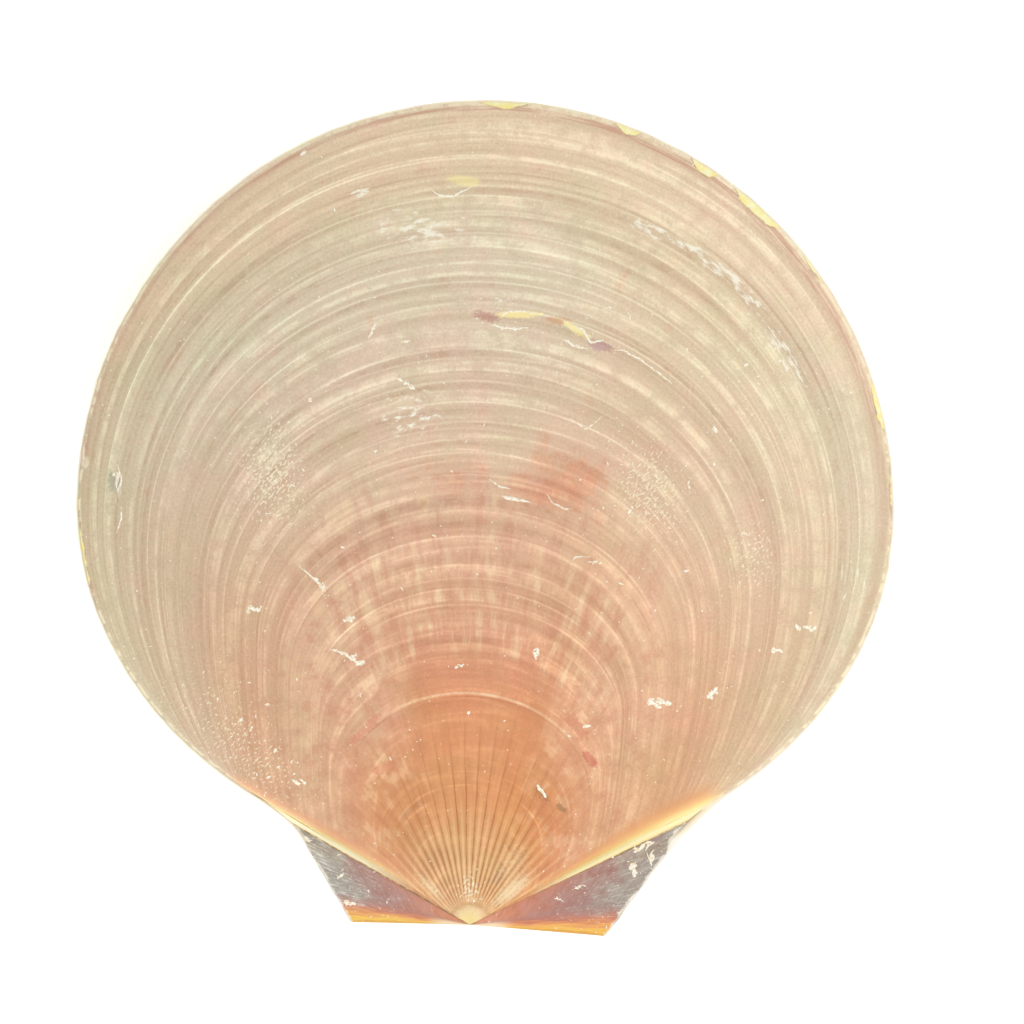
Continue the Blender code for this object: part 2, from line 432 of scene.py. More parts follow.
def margin_points(valve):
    """Plan points round the valve, from the left ear's tip over the far end to the right ear's tip."""
    first_turn = turn_at(valve.left_junction[0] - SHOULDER_STEP)
    last_turn = turn_at(valve.right_junction[0] + SHOULDER_STEP)
    disc = disc_points(np.linspace(first_turn, last_turn, valve.columns), valve.rim_inset)
    return np.concatenate((
        stretch(valve.left_tip, valve.left_junction, EAR_COLUMNS),
        stretch(valve.left_junction, disc[0], WALL_COLUMNS),
        disc[:-1],
        stretch(disc[-1], valve.right_junction, WALL_COLUMNS),
        stretch(valve.right_junction, valve.right_bend, BEND_COLUMNS),
        stretch(valve.right_bend, valve.right_tip, EAR_COLUMNS),
        np.array([valve.right_tip]),
    ))


def valve_margin(valve):
    """What is known about the margin, one entry for each ray of the mesh."""
    points = margin_points(valve)
    turn = np.arctan2(points[:, 0], points[:, 1])
    ray = np.hypot(points[:, 0], points[:, 1])
    places = np.arange(len(points))
    last_wall = EAR_COLUMNS + WALL_COLUMNS + valve.columns - 1 + WALL_COLUMNS
    left_drop = smooth(places / EAR_COLUMNS, 0.75, 1.0)
    right_drop = 1.0 - smooth((places - last_wall) / BEND_COLUMNS, 0.0, 1.0)
    dome = smooth(flank_foot(turn) - np.degrees(np.abs(turn)), 0.0, FLANK_RUN)
    ear = ((places < EAR_COLUMNS) | (places > last_wall)).astype(float)
    along = np.gradient(points, axis=0)
    along /= np.linalg.norm(along, axis=1)[:, None]
    slant = np.abs(along[:, 0] * np.cos(turn) - along[:, 1] * np.sin(turn))
    steps = np.linalg.norm(np.diff(points, axis=0, prepend=points[:1]), axis=1)
    nibble = EDGE_CREEP * (1.0 + waves(np.cumsum(steps), EDGE_SEED))
    for chip in valve.chips:
        gap = np.hypot(points[:, 0] - chip.x, points[:, 1] - chip.y) / chip.half_length
        nibble = np.maximum(nibble, chip.depth * np.clip(1.0 - gap, 0.0, 1.0))
    bare = np.full(len(points), NOT_BARE)
    for place in BARE_PLACES:
        gap = np.hypot(points[:, 0] - place.x, points[:, 1] - place.y) / place.half_length
        ragged = 1.0 + 0.12 * waves(places * 0.9, BARE_SEED)
        bare = np.maximum(bare, place.depth * (1.3 - 1.6 * gap ** 2) * ragged)
    edge = ray - nibble / np.clip(slant, 0.35, 1.0)
    return Margin(turn, ray, edge, slant, dome, np.minimum(left_drop, right_drop), ear, np.minimum(bare, 1.0))


def line_radius(stage, turn):
    """How far from the umbo the growth line of a stage crosses the ray at a turn."""
    stage = np.maximum(stage, 1e-5)
    grown = GROWN_LENGTH * stage
    adult = smooth(stage, YOUNG_STAGE, ADULT_STAGE)
    centre_x = DISC_CENTRE[0] * stage - LEAN * stage * (1.0 - stage)
    centre_y = grown * (YOUNG_CENTRE + (ADULT_CENTRE + CENTRE_SHIFT * (1.0 - stage) - YOUNG_CENTRE) * adult)
    half_width = grown * (YOUNG_WIDTH + (ADULT_WIDTH - WIDTH_SHIFT * (1.0 - stage) - YOUNG_WIDTH) * adult)
    lower_reach = grown * YOUNG_LOWER_REACH + (ADULT_LOWER_REACH - grown * YOUNG_LOWER_REACH) * adult
    radii = []
    for reach in (grown - centre_y, lower_reach):
        square = (np.sin(turn) / half_width) ** 2 + (np.cos(turn) / reach) ** 2
        linear = np.sin(turn) * centre_x / half_width ** 2 + np.cos(turn) * centre_y / reach ** 2
        constant = (centre_x / half_width) ** 2 + (centre_y / reach) ** 2 - 1.0
        inside = linear ** 2 - square * constant
        radii.append(np.where(inside >= 0.0, (linear + np.sqrt(np.maximum(inside, 0.0))) / square, np.nan))
    upper = radii[0] * np.cos(turn) >= centre_y
    return np.where(upper, radii[0], radii[1])


def growth_grid(margin, stages):
    """Radius and stage of every row and ray, with rows past the margin gathered on it."""
    on_disc = margin.ear < 0.5
    radius = np.empty((len(stages), len(margin.turn)))
    stage = np.empty_like(radius)
    disc_columns = np.flatnonzero(on_disc)
    for column in disc_columns:
        radii = line_radius(stages, margin.turn[column])
        radii = np.maximum.accumulate(np.where(np.isnan(radii), MIDDLE_RAY * 2.0, radii))
        radii[0] = 0.0
        edge = margin.edge[column]
        radius[:, column] = np.minimum(radii, edge)
        stage[:, column] = np.minimum(stages, float(np.interp(edge, radii, stages)))
    for column in np.flatnonzero(~on_disc):
        beside = disc_columns[0] if column < disc_columns[0] else disc_columns[-1]
        radius[:, column] = radius[:, beside] / margin.edge[beside] * margin.edge[column]
        stage[:, column] = stage[:, beside]
    return radius, stage


# Relief

def outer_depth(valve, margin, radius):
    """Depth of the smooth outer face at a radius along each ray, as in the solids."""
    fraction = radius / margin.ray
    late = fraction ** RIM_POWER * margin.drop
    level = EAR_GAP + BODY_WALL + (RIM_GAP + RIM_WALL - EAR_GAP - BODY_WALL) * late
    grown = fraction ** CROWN_POWER
    dome = valve.dome * 4.0 * grown * (1.0 - grown) * (margin.ray / MIDDLE_RAY) ** SIDE_POWER * margin.dome
    beak = BEAK_RISE * np.exp(-((radius / BEAK_RADIUS) ** 2))
    return level + dome + beak - SKIN


def feather(margin, radius):
    """How much the worn rim lies below the smooth outer face."""
    inside = (margin.ray - radius) * margin.slant
    return FEATHER_DROP * margin.drop * (1.0 - smooth(inside, 0.0, FEATHER_RUN))


def inner_depth(valve, margin, radius):
    """Depth of the inner face, which runs flat along the disc's rim and close to the seam along the hinge."""
    inside = (margin.ray - radius) * margin.slant
    lip = RIM_GAP + RIM_WALL - SKIN - INNER_STEP
    limit = lip + np.maximum(inside - RIM_FLAT, 0.0) + EAR_EASE * (1.0 - margin.drop)
    limit = np.minimum(limit, HINGE_LIP + np.maximum(radius * np.cos(margin.turn) - HINGE_RUN, 0.0))
    return np.minimum(outer_depth(valve, margin, radius) - INNER_STEP, limit)


def fan_phase(radius, turn):
    """Counts the fine radial lines, which leave the beak in a slight curve."""
    curl = np.exp(-(radius - CURL_START) / CURL_RUN)
    degrees = (np.degrees(turn) + CURL_TURN * curl) / (1.0 + CURL_SQUEEZE * curl)
    return (degrees - FAN_OFFSET) / FAN_STEP


def growth_relief(margin, radius, stage):
    """Ridges and steps along the growth lines, with the fine radial grooves of the young shell."""
    relief = sum(height * waves(stage * GROWN_LENGTH / spacing, seed) for spacing, height, seed in RIDGES)
    for ring in RINGS:
        away = (stage - ring.stage) * GROWN_LENGTH / (ring.half_width * RING_SPREAD)
        relief += RING_HEIGHT * ring.tone * np.exp(-(away ** 2))
    relief *= smooth(stage, 0.02, 0.3) * margin.dome
    phase = fan_phase(radius, margin.turn)
    groove = np.exp(-((np.abs(phase - np.round(phase)) / GROOVE_HALF_WIDTH) ** 2))
    young = smooth(radius, 2.0, 6.0) * (1.0 - smooth(stage, 0.14, 0.27))
    neck = np.exp(-(((radius - NECK_RADIUS) / NECK_HALF_WIDTH) ** 2))
    return relief - (GROOVE_DEPTH * groove * young + NECK_DEPTH * neck) * margin.dome


# Meshes

def build_faces(index):
    """Quads of an index grid, with corners that have run together dropped."""
    faces = []
    quads = np.stack((index[:-1, :-1], index[:-1, 1:], index[1:, 1:], index[1:, :-1]), axis=-1).reshape(-1, 4)
    for quad in quads.tolist():
        corners = [corner for place, corner in enumerate(quad) if corner != quad[place - 1]]
        if len(set(corners)) == len(corners) and len(corners) > 2:
            faces.append(corners)
    return faces


def number_grid(radius, edge, start):
    """Vertex numbers of a grid. The first row is the umbo, and gathered rows share the edge's vertices."""
    own = radius < edge[None, :] - 1e-3
    own[0, :] = False
    index = np.zeros(radius.shape, dtype=int)
    index[own] = start + 1 + np.arange(own.sum())
    edge_numbers = start + 1 + own.sum() + np.arange(radius.shape[1])
    index[~own] = np.broadcast_to(edge_numbers, radius.shape)[~own]
    index[0, :] = start
    return index, own


def gather(grid, own):
    """Values of a grid in vertex order: the umbo, the rows' own vertices, then the edge."""
    return np.concatenate((grid[0, :1], grid[own], grid[-1, :]))


def boundary(index):
    """Vertices round a grid: out along the first ray, round the edge, and back along the last ray."""
    first, last = index[:, 0].tolist(), index[:, -1].tolist()
    loop = first + index[-1, 1:].tolist() + last[::-1]
    return [number for place, number in enumerate(loop) if number != loop[place - 1]]


def close_wall(outer, inner, places):
    """Triangles between two loops that both run round from the umbo, stepping along whichever lags behind."""
    faces = []
    spans = []
    for loop in (outer, inner):
        steps = np.linalg.norm(np.diff(places[loop + loop[:1]][:, :2], axis=0), axis=1)
        spans.append(np.concatenate(([0.0], np.cumsum(steps))) / steps.sum())
    a, b = 0, 0
    while a < len(outer) or b < len(inner):
        next_a = spans[0][a + 1] if a < len(outer) else 2.0
        next_b = spans[1][b + 1] if b < len(inner) else 2.0
        if next_a <= next_b:
            faces.append([outer[a % len(outer)], outer[(a + 1) % len(outer)], inner[b % len(inner)]])
            a += 1
        else:
            faces.append([outer[a % len(outer)], inner[(b + 1) % len(inner)], inner[b % len(inner)]])
            b += 1
    return faces


def add_attributes(mesh, values):
    """Stores named numbers on the mesh's points."""
    for name, numbers in values.items():
        attribute = mesh.attributes.new(name, "FLOAT", "POINT")
        attribute.data.foreach_set("value", np.ascontiguousarray(numbers, dtype=np.float32))


def plan_fields(margin, radius, stage):
    """The numbers that the materials read, for a grid of points."""
    turn = np.broadcast_to(margin.turn, radius.shape)
    x, y = radius * np.sin(turn), radius * np.cos(turn)
    ear = np.broadcast_to(margin.ear, radius.shape)
    foot = np.radians(flank_foot(turn))
    right = (x > 0.0).astype(float)
    band = 1.0 + right * 0.9 * smooth(radius, 10.0, 26.0) - right * 0.25
    tip_x, tip_y = np.where(x[..., None] > 0.0, BROWN.right_tip, BROWN.left_tip).transpose(2, 0, 1)
    hinge_width = 1.9 * np.clip(np.abs(x) / 14.0, 0.03, 1.2) ** 0.9
    return {
        "stage": stage,
        "ray": turn,
        "reach": radius,
        "fan": fan_phase(radius, turn),
        "flank": radius * np.sin(foot - np.abs(turn)) / band,
        "rim": (margin.edge - radius) * margin.slant,
        "margin": (margin.ray - radius) * margin.slant,
        "bare": margin.bare - (margin.ray - radius) * margin.slant,
        "hinge": (y - x * tip_y / tip_x) / hinge_width,
        "ear": ear,
        "ear_stage": radius / margin.ray,
        "blush": patches(x, y, BLUSHES) * smooth(BLUSH_EDGE - x, 0.0, 1.2),
        "worn": patches(x, y, WORN),
        "grain": patches(x, y, GRAINY),
        "cream": patches(x, y, CREAMY),
    }


def skin_depth(valve, margin, radius, stage):
    """Depth of the outer face with its relief and its worn rim."""
    depth = outer_depth(valve, margin, radius)
    relief = growth_relief(margin, radius, stage)
    if valve.side > 0.0:
        x, y = radius * np.sin(margin.turn), radius * np.cos(margin.turn)
        depth = depth + relief + SWELL_HEIGHT * swell(x / SWELL_SIZE, y / SWELL_SIZE, SWELL_SEED)
    else:
        depth = np.minimum(depth + PALE_RELIEF * relief, SEAM)
    return depth - feather(margin, radius)


def face_places(valve, margin, radius, depth, own):
    """Points of one face in the frame, in vertex order."""
    x = radius * np.sin(margin.turn) + UMBO[0]
    y = radius * np.cos(margin.turn) + UMBO[1]
    z = SEAM + valve.side * depth
    return np.stack((gather(x, own), gather(y, own), gather(z, own)), axis=1)


def valve_mesh(valve):
    """A closed fine mesh of one valve, with its growth relief and the numbers that its material reads."""
    margin = valve_margin(valve)
    radius, stage = growth_grid(margin, np.linspace(0.0, 1.0, valve.rows + 1))
    depth = skin_depth(valve, margin, radius, stage)
    outer_index, outer_own = number_grid(radius, margin.edge, 0)

    fractions = 1.0 - np.linspace(1.0, 0.0, INNER_ROWS + 1)[:, None] ** 2
    inner_edge = margin.edge - INNER_INSET
    inner_radius = fractions * inner_edge[None, :]
    under = inner_depth(valve, margin, inner_radius)
    inner_index, inner_own = number_grid(inner_radius, inner_edge, int(outer_index.max()) + 1)

    outer_places = face_places(valve, margin, radius, depth, outer_own)
    inner_places = face_places(valve, margin, inner_radius, under, inner_own)
    places = np.concatenate((outer_places, inner_places))
    faces = build_faces(outer_index) + build_faces(inner_index)
    faces += close_wall(boundary(outer_index), boundary(inner_index), places)

    mesh = bpy.data.meshes.new(valve.node + "_skin")
    mesh.from_pydata((places * MM).tolist(), [], faces)
    shape = bmesh.new()
    shape.from_mesh(mesh)
    bmesh.ops.recalc_face_normals(shape, faces=shape.faces)
    shape.to_mesh(mesh)
    shape.free()
    outer_fields = plan_fields(margin, radius, stage)
    inner_fields = plan_fields(margin, inner_radius, fractions * stage[-1, :][None, :])
    values = {
        name: np.concatenate((gather(grid, outer_own), gather(inner_fields[name], inner_own)))
        for name, grid in outer_fields.items()
    }
    add_attributes(mesh, values)
    mesh.shade_smooth()
    mesh.set_sharp_from_angle(angle=SHARP_ANGLE)
    return add_object(valve.node + "_skin", mesh)


# Materials

class Value:
    """What a node gives, a number or a colour. A sum with it adds a node to the same material."""

    def __init__(self, graph, socket):
        self.graph = graph
        self.socket = socket

    def math(self, operation, *others, clamp=False):
        """One sum on numbers."""
        terms = enumerate((self, *others))
        return self.graph.add("ShaderNodeMath", terms, operation=operation, use_clamp=clamp)

    def __add__(self, other):
        return self.math("ADD", other)

    def __sub__(self, other):
        return self.math("SUBTRACT", other)

    def __mul__(self, other):
        return self.math("MULTIPLY", other)

    def __truediv__(self, other):
        return self.math("DIVIDE", other)

    def __abs__(self):
        return self.math("ABSOLUTE")

    def rise(self, low, high, start=0.0, end=1.0):
        """Eased rise from start to end while this number goes from low to high."""
        terms = enumerate((self, low, high, start, end))
        return self.graph.add("ShaderNodeMapRange", terms, interpolation_type="SMOOTHSTEP")

    def sway(self, amount, base):
        """A base moved up and down by this number, which runs from 0 to 1."""
        return (self - 0.5).math("MULTIPLY_ADD", amount, base)

    def dim(self, factor, *share):
        """This colour multiplied by the given shares of red, green and blue."""
        return self.graph.blend(factor, self, (*share, 1.0), "MULTIPLY")

    def coat(self, factor, *shade):
        """This colour with a shade laid over it."""
        return self.graph.blend(factor, self, paint(*shade))

    def tint(self, tone, dark, pale):
        """This colour multiplied towards dark where tone is below 0.5, and towards pale above it."""
        stops = ((0.0, (*dark, 1.0)), (0.5, (1.0, 1.0, 1.0, 1.0)), (1.0, (*pale, 1.0)))
        return self.graph.blend(1.0, self, self.graph.ramp(tone, stops), "MULTIPLY")


class Graph:
    """Wires the nodes of one material. An input is given as a node's value, a number or a colour."""

    def __init__(self, name):
        self.material = bpy.data.materials.new(name)
        self.material.use_nodes = True
        self.tree = self.material.node_tree
        self.surface = self.tree.nodes["Principled BSDF"]
        place = self.add("ShaderNodeTexCoord", output="Object")
        self.plan = self.add("ShaderNodeVectorMath", ((0, place), ("Scale", 1.0 / MM)), operation="SCALE")

    def feed(self, socket, value):
        """Links or sets one input."""
        if isinstance(value, Value):
            self.tree.links.new(value.socket, socket)
        else:
            socket.default_value = value

    def add(self, kind, inputs=(), output=0, **settings):
        """A new node with the given settings and inputs, as the value of one of its outputs."""
        made = self.tree.nodes.new(kind)
        for name, value in settings.items():
            setattr(made, name, value)
        for name, value in dict(inputs).items():
            self.feed(made.inputs[name], value)
        return Value(self, made.outputs[output])

    def attribute(self, name):
        """A number stored on the mesh."""
        return self.add("ShaderNodeAttribute", (), "Fac", attribute_type="GEOMETRY", attribute_name=name)

    def noise(self, place, scale, detail=2.0, roughness=0.5):
        """Soft noise from 0 to 1."""
        inputs = {"Vector": place, "Scale": scale, "Detail": detail, "Roughness": roughness}
        return self.add("ShaderNodeTexNoise", inputs, "Fac", noise_dimensions="2D")

    def lines(self, across, along, detail=2.0, roughness=0.5):
        """Soft noise over two numbers."""
        place = self.add("ShaderNodeCombineXYZ", enumerate((across, along)))
        return self.noise(place, 1.0, detail, roughness)

    def ridges(self, across, along, detail, sharpness):
        """Thin bright lines between 0 and 1, where soft noise passes its middle."""
        bend = abs(self.lines(across, along, detail) - 0.5)
        return bend.math("MULTIPLY_ADD", -4.0, 1.0, clamp=True).math("POWER", sharpness)

    def cells(self, place, scale):
        """Distance to the nearest of scattered points, and a random number for each of them."""
        inputs = {"Vector": place, "Scale": scale}
        near = self.add("ShaderNodeTexVoronoi", inputs, "Distance", voronoi_dimensions="2D")
        colour = Value(self, near.socket.node.outputs["Color"])
        return near, self.add("ShaderNodeSeparateColor", ((0, colour),))

    def turned(self, place, turn, size):
        """The plan as seen from a place, turned and in units of the given size."""
        inputs = {"Vector": self.plan, "Location": place, "Rotation": (0.0, 0.0, turn), "Scale": size}
        return self.add("ShaderNodeMapping", inputs, vector_type="TEXTURE")

    def blend(self, factor, under, over, how="MIX"):
        """One colour laid over another."""
        inputs = {"Factor": factor, "A": under, "B": over}
        return self.add("ShaderNodeMix", inputs, "Result", data_type="RGBA", blend_type=how)

    def ramp(self, value, stops):
        """Colours or greys along a number."""
        made = self.add("ShaderNodeValToRGB", ((0, value),), "Color")
        elements = made.socket.node.color_ramp.elements
        while len(elements) < len(stops):
            elements.new(0.5)
        for element, (place, colour) in zip(elements, stops):
            element.position = place
            element.color = colour if isinstance(colour, tuple) else (colour, colour, colour, 1.0)
        return made

    def shades(self, value, *stops):
        """Colours along a number, from rows of a place and a shade."""
        return self.ramp(value, [(place, paint(*shade)) for place, *shade in stops])

    def finish(self, colour, roughness, relief, height):
        """Wires the surface: colour, roughness and a bump of the given height in millimetres."""
        inputs = {"Strength": 1.0, "Distance": height * MM, "Height": relief}
        bump = self.add("ShaderNodeBump", inputs)
        for name, value in (("Base Color", colour), ("Roughness", roughness), ("Normal", bump)):
            self.feed(self.surface.inputs[name], value)
        return self.material


def triangle_tone(stage):
    """Tone of the named growth lines at a stage, 0.5 where there is none."""
    total = 0.5
    for ring in RINGS:
        away = abs(stage - ring.stage) * GROWN_LENGTH / ring.half_width
        total += 0.5 * ring.tone * max(0.0, 1.0 - away)
    return min(1.0, max(0.0, total))


def ring_tone(graph, stage):
    """Tone of the named growth lines, from several colour ramps that each cover a few of them."""
    groups = np.array_split(np.arange(len(RINGS)), RING_RAMPS)
    total = 0.5
    for group in groups:
        rings = [RINGS[number] for number in group]
        half = max((ring.half_width for ring in rings)) / GROWN_LENGTH
        low, high = (rings[0].stage - 2.0 * half, rings[-1].stage + 2.0 * half)
        places = {low, high}
        for ring in rings:
            width = ring.half_width / GROWN_LENGTH
            places.update((ring.stage - width, ring.stage, ring.stage + width))
        inner = sorted((place for place in places if low < place < high))
        peaks = [((place - low) / (high - low), triangle_tone(place)) for place in inner]
        stops = [(0.0, 0.5), *peaks, (1.0, 0.5)]
        place = (stage - low).math("DIVIDE", high - low, clamp=True)
        tone = graph.ramp(place, stops)
        total = tone - 0.5 + total
    return total


def fine_lines(graph, stage, ray):
    """Growth lines of several sizes as one tone round 0.5: soft bands, thin pale threads and hair lines."""
    grown = stage * GROWN_LENGTH
    broad = graph.lines(grown / BAND_STEP, ray * 0.8, 3.0, 0.6)
    hair = graph.lines(grown / HAIR_STEP, ray * 5.0, 1.0)
    threads = graph.ridges(grown / THREAD_STEP, ray * 0.8, 2.0, 7.0)
    tone = broad.sway(0.85, 0.4)
    tone = hair.sway(0.2, tone)
    return threads * 0.36 + tone


def add_dust(graph, colour, grain):
    """Tiny pale specks, and short slanted strokes where the grain is."""
    near, chance = graph.cells(graph.plan, 2.4)
    dust = near.rise(0.34, 0.12) * chance.rise(0.992, 0.998)
    strokes = graph.noise(graph.turned((0.0, 0.0, 0.0), 0.9, (0.46, 0.25, 1.0)), 1.0, 1.0)
    dust = dust.math("MAXIMUM", (grain * 0.3 + strokes).rise(0.78, 0.9))
    return (colour.coat(dust * 0.75, 250, 238, 206), dust)


def disc_colours(graph, stage, ray, side, flank, mottle, grit, streaks):
    """The broad colours of the disc: orange near the beak, then salmon, then beige, with redder patches, and
    painted shade on the left side.
    """
    disc = graph.shades(
        stage - side.rise(0.3, 0.85, 0.0, 0.14) * stage.rise(0.42, 0.62), (0.0, 246, 218, 158),
        (0.016, 240, 208, 150), (0.03, 226, 188, 140), (0.08, 220, 172, 120), (0.15, 223, 156, 102),
        (0.27, 222, 152, 108), (0.32, 221, 156, 120), (0.38, 223, 170, 136), (0.45, 226, 181, 149),
        (0.6, 226, 199, 171), (0.7, 224, 201, 174), (0.8, 228, 212, 183), (0.87, 225, 206, 175),
        (0.92, 238, 214, 181), (0.97, 234, 210, 178),
    )
    warm = flank.rise(8.0, 0.5) * stage.rise(0.62, 0.3)
    disc = disc.coat(warm * 0.5, 230, 166, 124)
    blush = mottle.sway(1.5, graph.attribute("blush"))
    blush = streaks.sway(1.0, blush)
    disc = disc.coat(blush.rise(0.05, 1.2, 0.0, 0.88), 213, 146, 114)
    beside = side.rise(0.22, 0.46) * stage.rise(0.58, 0.4)
    beside = beside * stage.rise(0.18, 0.31)
    disc = disc.coat(beside * 0.55, 236, 196, 164)
    disc = disc.tint(mottle, (0.84, 0.79, 0.77), (1.12, 1.17, 1.17))
    hue = graph.noise(graph.plan, 0.17, 4.0, 0.65)
    disc = disc.tint(hue, (0.9, 1.0, 0.9), (1.1, 0.97, 1.04))
    fibres = streaks.sway(stage.rise(0.22, 0.3, 1.0, 0.0), 0.5)
    disc = disc.tint(fibres, (0.84, 0.8, 0.76), (1.12, 1.2, 1.26))
    shoulder = side.rise(0.45, 0.95) * stage.rise(0.15, 0.35)
    disc = disc.dim(shoulder, 0.94, 0.91, 0.85)
    # Painted shade: the left side darker, as if lit from the right
    disc = disc.dim(ray.rise(-0.1, -0.55), 0.94, 0.955, 0.945)
    right = ray.rise(0.04, 0.32) * stage.rise(0.93, 0.84)
    disc = disc.dim(right, 0.985, 0.935, 0.865)
    gritty = grit.sway(stage.rise(0.2, 0.35, 0.45, 1.0), 0.5)
    return disc.tint(gritty, (0.86, 0.82, 0.81), (1.13, 1.17, 1.18))


def add_young_fan(graph, disc, reach, side, mottle, grit):
    """The thin dark radial lines near the beak, with pale stripes between them."""
    fan = mottle.sway(0.22, graph.attribute("fan"))
    away = abs(fan - fan.math("ROUND"))
    thread = away.rise(reach.rise(5.0, 16.0, 0.27, 0.12), 0.0)
    far = side * side * 19.0 + reach
    young = reach.rise(2.6, 4.5) * far.rise(28.0, 13.0)
    young = young * mottle.rise(0.35, 0.65, 1.0, 0.65)
    disc = disc.coat(thread * young, 184, 118, 70)
    between = away.rise(0.26, 0.46) * reach.rise(17.0, 6.0)
    disc = disc.coat(between * 0.45, 250, 216, 156)
    neck = abs(reach - 2.45).rise(0.45, 0.05, 0.0, 0.35)
    disc = disc.coat(neck, 176, 136, 78)
    cream = grit.sway(0.7, graph.attribute("cream"))
    disc = disc.coat(cream.rise(0.25, 1.2, 0.0, 0.75), 252, 232, 188)
    knob = mottle * 1.6 + reach
    return disc.coat(knob.rise(3.0, 1.5, 0.0, 0.7), 248, 222, 142)


def add_cross_stripes(graph, disc, stage, side, streaks):
    """Pale and reddish radial stripes that cross the growth lines in the middle of the disc."""
    where = stage.rise(0.29, 0.36) * stage.rise(0.64, 0.48)
    where = where * side.rise(0.62, 0.34)
    broken = graph.lines(stage * 42.0, side * 1.5, 1.0).rise(0.4, 0.58, 0.3, 1.0)
    pale = streaks.rise(0.47, 0.72) * (broken * where)
    red = streaks.rise(0.5, 0.28) * where
    disc = disc.coat(pale * 0.75, 241, 210, 168)
    return disc.coat(red * 0.42, 204, 138, 110)


def add_peeled_patches(disc, stage, side, mottle, streaks):
    """Pale and reddish ragged patches round the young shell, where thin layers have come off."""
    ragged = streaks.sway(0.45, mottle)
    where = stage.rise(0.1, 0.2) * stage.rise(0.58, 0.42)
    where = where * side.rise(0.22, 0.42)
    pale = ragged.rise(0.51, 0.64) * where
    red = ragged.rise(0.45, 0.34) * where
    disc = disc.coat(pale * 0.32, 242, 202, 160)
    return disc.coat(red * 0.28, 208, 136, 104)


def add_stains_and_shadow(graph, disc, edges, clouds):
    """The broken places: ragged spots of the layers underneath, and one painted shadow beside a lifted edge.
    """
    uneven = edges * 1.1 + clouds * 1.8 - 1.45
    for blot in STAINS_AND_SHADOW:
        size = (blot.length / 2.0, blot.width / 2.0, 1000.0)
        place = graph.turned((blot.x + UMBO[0], blot.y + UMBO[1], 0.0), blot.turn, size)
        away = graph.add("ShaderNodeVectorMath", ((0, place),), "Value", operation="LENGTH")
        disc = disc.coat((away + uneven).rise(1.15, 0.65, 0.0, blot.strength), *blot.colour)
    return disc


def add_growth_lines(graph, disc, stage, ray, side, mottle):
    """Fine growth lines everywhere, and the stronger named ones, which fade in and out along their length."""
    lines = fine_lines(graph, stage, ray)
    quiet = stage.rise(0.2, 0.36, 0.35, 1.0).math("MAXIMUM", side.rise(0.22, 0.46, 0.0, 0.95))
    quiet = quiet * mottle.rise(0.38, 0.6, 0.45, 1.25)
    quiet = quiet * side.rise(0.35, 1.0, 1.0, 0.65)
    lines = lines.sway(quiet, 0.5)
    disc = disc.tint(lines, (0.7, 0.6, 0.55), (1.26, 1.37, 1.38))
    uneven = graph.lines(stage * 34.0, ray * 3.5, 2.0).rise(0.32, 0.68, 0.25, 1.35)
    fading = side.rise(0.35, 0.95) * stage.rise(0.55, 0.25, 0.3, 0.9)
    uneven = uneven * (fading * -1.0 + 1.0)
    rings = ring_tone(graph, stage).sway(uneven, 0.5)
    disc = disc.tint(rings, (0.7, 0.58, 0.53), (1.36, 1.52, 1.58))
    away = abs(stage - YOUNG_RING)
    ring = away.rise(0.0026, 0.0004) * side.rise(0.52, 0.2)
    ring = ring * mottle.rise(0.4, 0.55, 0.45, 0.9)
    return disc.coat(ring, 248, 210, 170)


def add_rim(graph, disc, ray):
    """The mauve line inside the margin, the worn edge, yellow where the brown layer has come off, and a
    painted shadow along that broken edge.
    """
    inside = graph.attribute("margin")
    edge = graph.attribute("rim")
    bare = graph.attribute("bare")
    patchy = graph.noise(graph.plan, 0.7, 3.0, 0.6)
    upper = ray.rise(-0.95, -0.15) * ray.rise(0.8, 0.45, 0.25, 1.0)
    wide = ray.rise(-0.1, 0.35, 0.7, 1.3)
    mauve = inside.rise(0.3, 0.65) * inside.rise(wide + 0.5, wide)
    fine = graph.lines(inside * 4.0, ray * 12.0, 3.0, 0.6)
    mauve = mauve * (upper * fine.rise(0.38, 0.62, 0.1, 0.75))
    disc = disc.coat(mauve, 203, 152, 127)
    worn_edge = edge.rise(0.45, 0.1) * patchy.rise(0.42, 0.54, 0.1, 0.9)
    disc = disc.coat(worn_edge, 250, 236, 202)
    # Painted shadow: a darker line along the broken edge of the brown layer, just inside the yellow
    disc = disc.coat(bare.rise(-0.22, -0.02, 0.0, 0.45), 184, 138, 98)
    ragged = patchy.sway(0.8, bare)
    yellow = graph.blend(patchy.rise(0.35, 0.65), paint(255, 252, 200), paint(255, 240, 156))
    return graph.blend(ragged.rise(-0.06, 0.14), disc, yellow)


def add_flank_band_with_painted_light(graph, disc, ray, reach, flank):
    """The yellow band along each flank, its palest part a painted highlight on the steep flank, with a thin
    olive painted shadow line at its foot.
    """
    # The shell's own yellow, with its palest stops lifted into a painted highlight where the steep flank lies
    # in shade
    band = graph.shades(
        flank.math("DIVIDE", 4.0, clamp=True), (0.0, 220, 190, 140), (0.025, 252, 228, 170),
        (0.06, 255, 248, 212), (0.12, 255, 246, 204), (0.18, 252, 226, 156), (0.25, 240, 190, 134),
        (0.38, 229, 164, 119), (1.0, 228, 158, 116),
    )
    band = band.dim(ray.rise(0.0, 0.1), 0.99, 0.955, 0.79)
    along = reach.rise(6.0, 15.0, 0.05, 1.0) * reach.rise(34.0, 30.0)
    disc = graph.blend(along * flank.rise(2.4, 0.9), disc, band)
    # Painted shadow: a broken olive line along the foot of the flank
    broken = graph.noise(graph.plan, 1.3, 3.0).rise(0.44, 0.58, 0.15, 0.75)
    return disc.coat(flank.rise(0.12, 0.03) * broken, 134, 104, 70)


